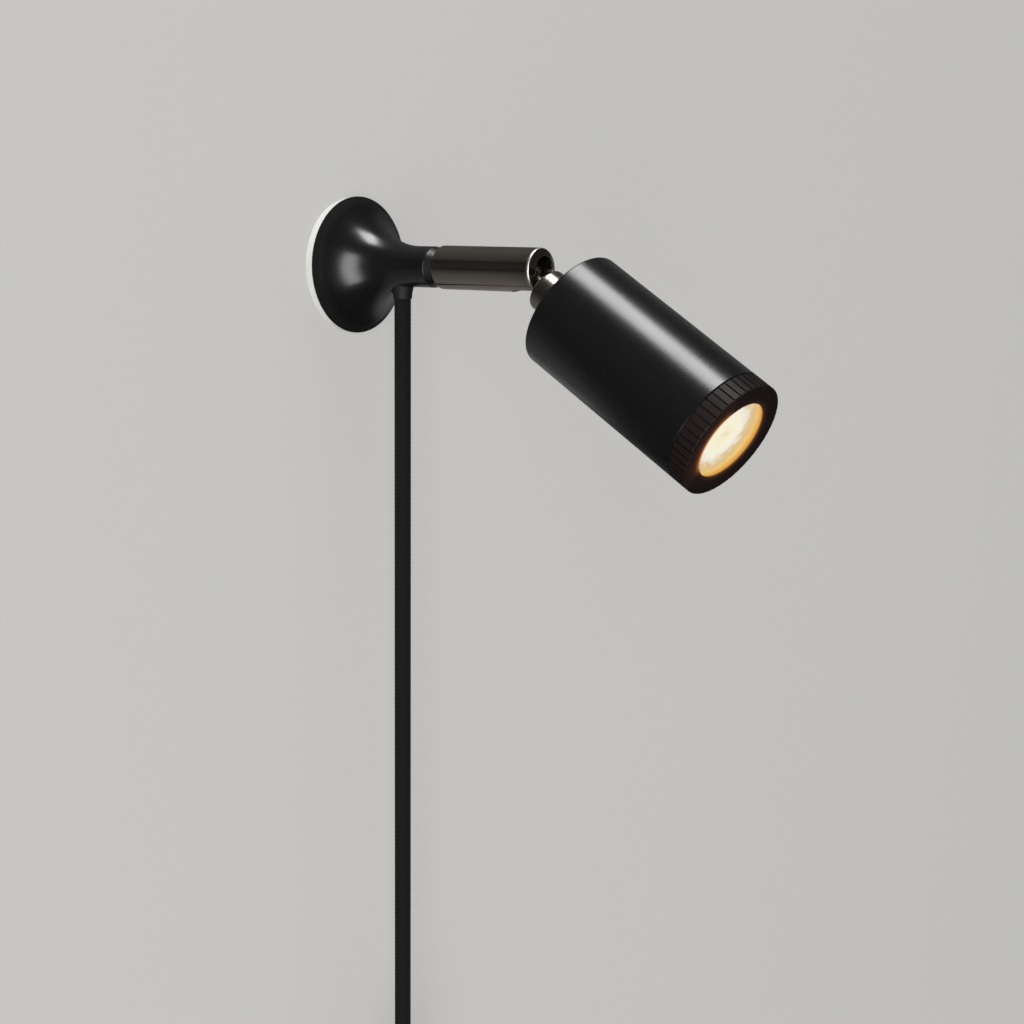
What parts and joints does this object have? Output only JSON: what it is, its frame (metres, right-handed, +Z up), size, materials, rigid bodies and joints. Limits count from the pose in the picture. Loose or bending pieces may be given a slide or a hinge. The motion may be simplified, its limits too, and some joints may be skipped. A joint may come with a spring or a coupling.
{
  "type": "pivoting spotlight wall light",
  "caption": "Plug-in wall spotlight: trumpet-shaped wall base, short swivelling arm tube, and a cylindrical head that tilts on a ball in a slotted socket, with a ribbed front ring.",
  "frame": {"origin": "centre of the wall plate's back face, on the wall", "axes": "-Y out of the wall along the arm, +Z up, +X to the right of someone facing the wall"},
  "size_m": [0.102, 0.1856, 0.5786],
  "materials": {
    "white_plastic": "satin white",
    "black_paint": "satin black paint",
    "black_nickel": "polished black nickel plating",
    "zinc_steel": "zinc plated",
    "spring_steel": "bright",
    "brass": "bright",
    "nylon": "natural nylon",
    "black_plastic": "satin black",
    "textile_cord": "black braid",
    "wire_cover": "wire insulation",
    "porcelain": "glazed ceramic holder body",
    "lamp_ceramic": "white lamp cap",
    "lamp_mirror": "metallised glass bowl",
    "lamp_glass": "glowing frosted front"
  },
  "bodies": {
    "wall_mount": {"wall_plate": "white_plastic", "base_shell": "black_paint", "base_ring": "zinc_steel", "cord_gland": "black_plastic", "cord_grip": "nylon", "grip_screw": "zinc_steel", "neck_leads": "wire_cover", "swivel_ring": "black_nickel", "pivot_nipple": "zinc_steel", "swivel_washer": "nylon", "pivot_washer": "zinc_steel", "pivot_nut": "zinc_steel", "cord_drop": "textile_cord", "switch_front": "black_plastic", "switch_back": "black_plastic", "switch_screws": "zinc_steel", "cord_lead": "textile_cord", "cord_coil": "textile_cord", "coil_tie": "black_plastic", "cord_tail": "textile_cord", "plug_body": "black_plastic", "plug_pins": "brass"},
    "rocker": {"switch_rocker": "black_plastic"},
    "arm": {"arm_tube": "black_nickel", "arm_plug": "zinc_steel", "spring_stop": "zinc_steel", "seat_springs": "spring_steel", "ball_seat": "nylon", "arm_leads": "wire_cover"},
    "ball": {"ball_stud": "black_nickel", "stud_washer": "zinc_steel", "stud_nut": "zinc_steel", "stud_leads": "wire_cover"},
    "head": {"head_collar": "black_nickel", "head_shell": "black_paint", "holder_bracket": "zinc_steel", "bracket_screws": "zinc_steel", "lamp_holder": "porcelain", "holder_screws": "zinc_steel", "holder_contacts": "brass", "head_leads": "wire_cover"},
    "lamp": {"lamp_cap": "lamp_ceramic", "lamp_pins": "brass", "lamp_reflector": "lamp_mirror", "lamp_face": "lamp_glass"},
    "ring": {"front_ring": "black_paint"}
  },
  "joints": [
    {"name": "arm_turn", "type": "hinge", "parent": "wall_mount", "child": "arm", "pos_m": [0, -0.0465, 0], "axis": [0, -1, 0], "range_deg": [-160, 160]},
    {"name": "head_tilt", "type": "hinge", "parent": "arm", "child": "ball", "pos_m": [0, -0.08321, 0], "axis": [1, 0, 0], "range_deg": [-31.46, 58.54]},
    {"name": "head_spin", "type": "hinge", "parent": "ball", "child": "head", "pos_m": [0, -0.08321, 0], "axis": [0, -0.853, -0.5219], "range_deg": [-175, 175]},
    {"name": "lamp_twist", "type": "hinge", "parent": "head", "child": "lamp", "pos_m": [0, -0.08321, 0], "axis": [0, -0.853, -0.5219], "range_deg": [0, 28]},
    {"name": "ring_off", "type": "slide", "parent": "head", "child": "ring", "axis": [0, -0.853, -0.5219], "range_m": [0, 0.03]},
    {"name": "rocker_press", "type": "hinge", "parent": "wall_mount", "child": "rocker", "pos_m": [0, -0.0322, -0.339], "axis": [1, 0, 0], "range_deg": [0, 14]}
  ]
}
